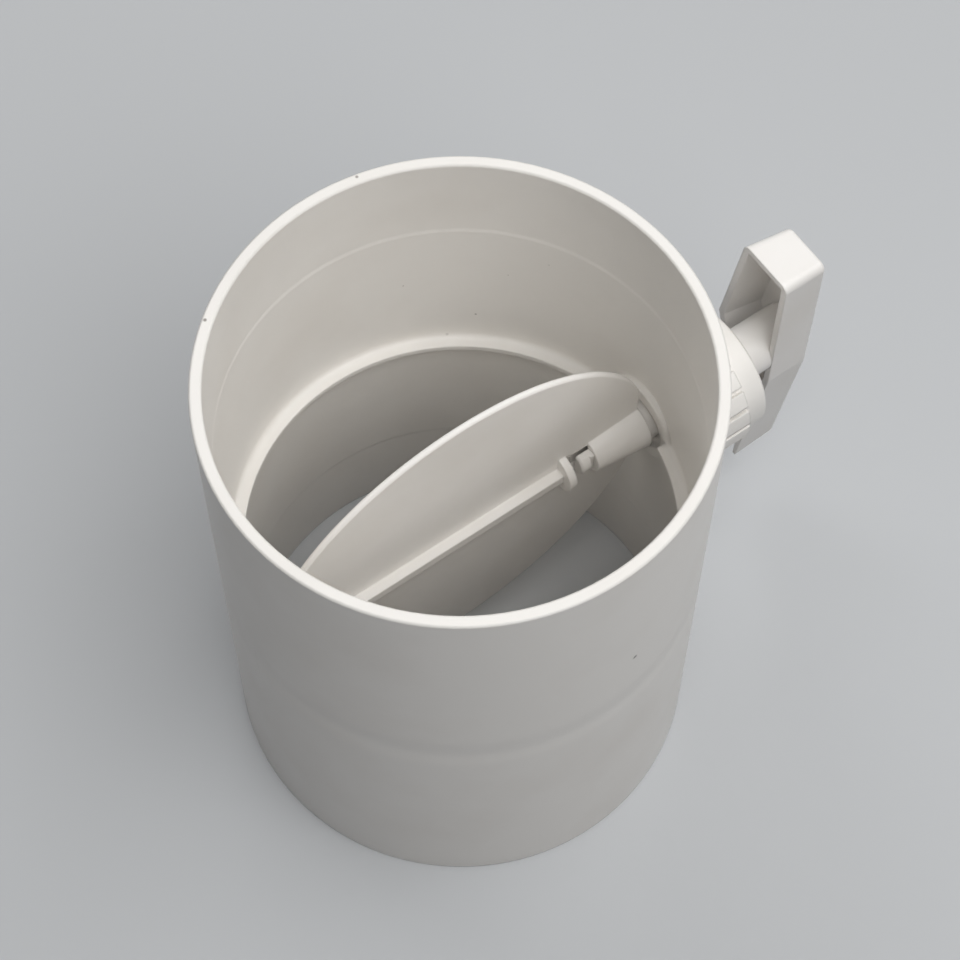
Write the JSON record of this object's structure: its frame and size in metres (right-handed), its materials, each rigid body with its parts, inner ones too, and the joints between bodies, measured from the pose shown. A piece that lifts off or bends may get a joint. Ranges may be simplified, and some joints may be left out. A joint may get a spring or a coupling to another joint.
{
  "type": "round duct damper",
  "caption": "Plastic pipe section with a swinging round blade inside, two half-round stop ledges, and a pointed hollow lever on a toothed side boss that opens or closes the air path.",
  "frame": {"origin": "centre of the lower mouth, on the duct's axis, in the plane of the lower rim", "axes": "+Z along the duct's axis from the lower to the upper mouth; +X along the axle towards the lever; -Y is the ribbed side of the open blade"},
  "size_m": [0.1597, 0.1164, 0.148],
  "materials": {
    "body_plastic": "semi-gloss moulded white plastic",
    "blade_plastic": "semi-gloss moulded white plastic",
    "lever_plastic": "semi-gloss moulded white plastic"
  },
  "bodies": {
    "housing": {"duct_body": "body_plastic"},
    "rotor": {"blade": "blade_plastic", "lever_handle": "lever_plastic"}
  },
  "joints": [
    {"name": "blade_swing", "type": "hinge", "parent": "housing", "child": "rotor", "pos_m": [0, 0, 0.0757], "axis": [-1, 0, 0], "range_deg": [0, 92]}
  ]
}
